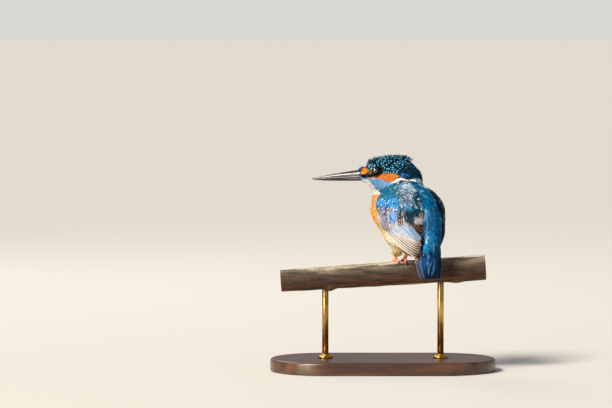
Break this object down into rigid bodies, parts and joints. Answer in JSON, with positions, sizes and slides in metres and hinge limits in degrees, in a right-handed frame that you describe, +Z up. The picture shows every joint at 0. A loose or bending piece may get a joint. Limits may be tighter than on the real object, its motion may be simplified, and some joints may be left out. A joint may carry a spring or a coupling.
{
  "type": "common kingfisher on a perch",
  "caption": "Still life-size model of a common kingfisher with its head turned over its shoulder, on a short cut branch held over a flat base by two rods.",
  "frame": {"origin": "centre of the base's underside", "axes": "+Z up, +X along the branch towards its thicker, higher end, -Y the side that the bird's back is turned to; the bill points to -X"},
  "size_m": [0.176, 0.088, 0.1681],
  "materials": {
    "plumage_head": "blackish blue crown feathers with rows of azure spots, rusty cheek and loral spot, white throat",
    "plumage_neck": "white neck patch and throat between blue nape and blue malar stripe",
    "plumage_body": "azure back stripe with a silky sheen, orange to cream breast and belly",
    "plumage_wing": "teal wing feathers with azure spots on the coverts and grey-brown quills with pale edges",
    "plumage_tail": "dark royal blue tail feathers, satin",
    "plumage_thigh": "soft orange-buff thigh feathers",
    "bill_horn": "black horn, satin, paler at the base of the lower half",
    "eye": "very dark brown, wet gloss",
    "foot_skin": "coral red scaly skin with dark claws",
    "bark": "weathered bark, grey above and red-brown below, sawn at both ends",
    "walnut": "oiled dark walnut, satin",
    "brass": "brushed brass, slightly aged"
  },
  "bodies": {
    "root": {"trunk": "plumage_body", "neck": "plumage_neck", "head": "plumage_head", "tail": "plumage_tail", "wing_left": "plumage_wing", "wing_right": "plumage_wing", "thigh_left": "plumage_thigh", "thigh_right": "plumage_thigh", "bill_upper": "bill_horn", "bill_lower": "bill_horn", "eye_left": "eye", "eye_right": "eye", "shank_left": "foot_skin", "shank_right": "foot_skin", "foot_left": "foot_skin", "foot_right": "foot_skin", "perch": "bark", "stand_base": "walnut", "stand_rod_left": "brass", "stand_rod_right": "brass", "stand_collar_left": "brass", "stand_collar_right": "brass"}
  },
  "joints": []
}
